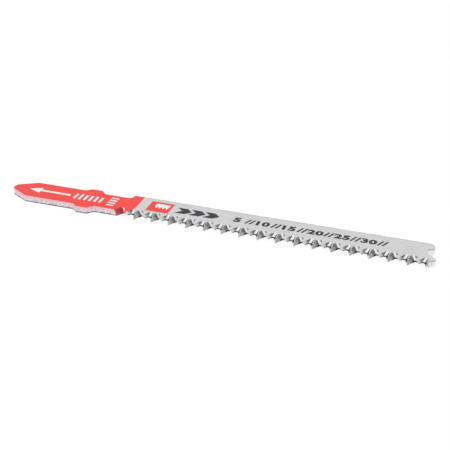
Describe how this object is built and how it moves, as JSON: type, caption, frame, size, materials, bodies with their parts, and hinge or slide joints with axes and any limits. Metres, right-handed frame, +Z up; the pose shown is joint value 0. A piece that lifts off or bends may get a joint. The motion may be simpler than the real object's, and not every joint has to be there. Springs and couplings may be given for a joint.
{
  "type": "jigsaw blade",
  "caption": "Flat steel T-shank jigsaw blade with fine teeth ground slantwise from alternate faces, a red painted shank and a notched end.",
  "frame": {"origin": "middle of the blade's overall length and width, on the underside that it lies on", "axes": "+X along the blade from the shank's nose to the far end, +Y from the teeth to the back edge, +Z up through the thickness to the printed face"},
  "size_m": [0.083, 0.0078, 0.0012],
  "materials": {
    "blade_steel": "bright satin steel with bare ground teeth",
    "shank_paint": "thin satin red paint on the printed face of the shank",
    "dark_ink": "matt dark printing ink",
    "white_ink": "matt white printing ink"
  },
  "bodies": {
    "root": {"blade": "blade_steel"}
  },
  "joints": []
}
